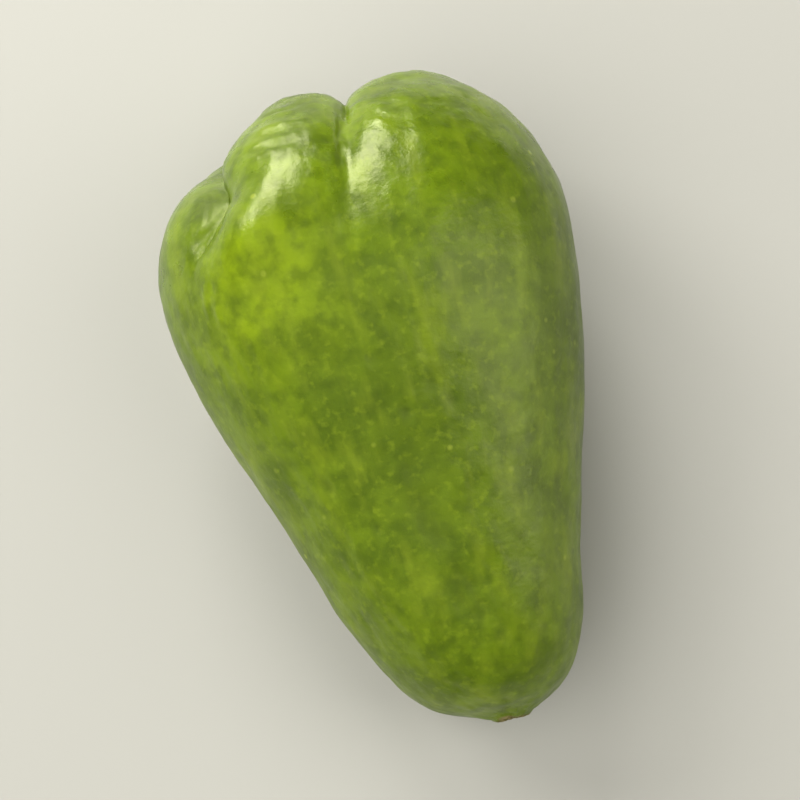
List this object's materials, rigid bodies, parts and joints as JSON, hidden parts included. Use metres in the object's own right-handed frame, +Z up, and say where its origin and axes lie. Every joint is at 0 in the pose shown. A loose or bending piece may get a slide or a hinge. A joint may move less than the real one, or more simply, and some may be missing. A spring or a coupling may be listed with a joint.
{
  "type": "baby chayote",
  "caption": "Small young chayote fruit, pear-shaped, lying on its side, with a smooth tapering neck and a lobed blossom end folded round a slit mouth.",
  "frame": {"origin": "on the resting surface, under the middle of the fruit's bounding box", "axes": "+Y along the fruit towards the blossom end with the mouth, -Y towards the stem scar, +X across its width, +Z up from the surface that it lies on"},
  "size_m": [0.0546, 0.085, 0.0402],
  "materials": {
    "green_skin": "waxy, satin gloss, mottled yellow-green"
  },
  "bodies": {
    "root": {"chayote_fruit": "green_skin"}
  },
  "joints": []
}
